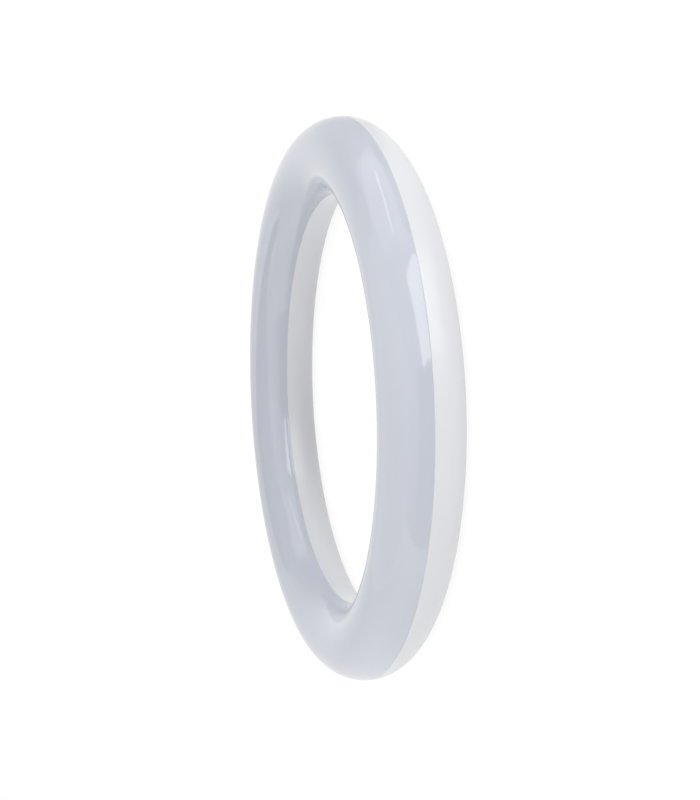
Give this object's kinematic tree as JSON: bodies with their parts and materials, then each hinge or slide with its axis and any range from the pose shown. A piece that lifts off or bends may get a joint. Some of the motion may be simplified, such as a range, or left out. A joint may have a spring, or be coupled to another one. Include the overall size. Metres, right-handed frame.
{
  "type": "circular led tube",
  "caption": "Closed ring lamp of round tube section, parted round its middle into an opal diffuser and a white housing, with a pinned cap on its inner wall.",
  "frame": {"origin": "centre of the ring on the plane that its back rests on", "axes": "+Z along the ring's axis from the housing towards the diffuser; +X from the centre towards the lamp cap"},
  "size_m": [0.225, 0.225, 0.03],
  "materials": {
    "diffuser_opal": "glossy opal polycarbonate, slightly blue",
    "housing_white": "white moulded polycarbonate, semi-gloss",
    "carrier_white": "white moulded plastic",
    "pin_brass": "plain brass",
    "screw_steel": "zinc plated",
    "link_tin": "tinned copper",
    "light_board_white": "white solder mask on glass epoxy",
    "led_package": "white package with a yellow phosphor window",
    "driver_green": "green solder mask on glass epoxy",
    "fuse_body": "lacquered ceramic",
    "varistor_blue": "blue epoxy dip",
    "film_capacitor_red": "red epoxy box",
    "choke_black": "shrink sleeve over a ferrite drum",
    "chip_black": "black moulding compound",
    "can_sleeve": "dark shrink sleeve on an aluminium can",
    "core_ferrite": "sintered ferrite",
    "winding_tape": "yellow polyester tape",
    "lead_brown": "brown wire insulation",
    "lead_blue": "blue wire insulation"
  },
  "bodies": {
    "root": {"diffuser": "diffuser_opal", "housing": "housing_white", "pin_carrier": "carrier_white", "contact_pins": "pin_brass", "carrier_screws": "screw_steel", "board_screws": "screw_steel", "driver_screws": "screw_steel", "board_links": "link_tin", "output_pins": "link_tin", "driver_board": "driver_green", "fuse": "fuse_body", "varistor": "varistor_blue", "film_capacitor": "film_capacitor_red", "filter_choke": "choke_black", "bridge_rectifier": "chip_black", "controller": "chip_black", "output_diode": "chip_black", "chip_resistors": "chip_black", "bulk_capacitor": "can_sleeve", "output_capacitor": "can_sleeve", "transformer_core": "core_ferrite", "transformer_winding": "winding_tape", "lead_live": "lead_brown", "lead_neutral": "lead_blue", "light_board_1": "light_board_white", "led_row_1": "led_package", "light_board_2": "light_board_white", "led_row_2": "led_package", "light_board_3": "light_board_white", "led_row_3": "led_package", "light_board_4": "light_board_white", "led_row_4": "led_package"}
  },
  "joints": []
}
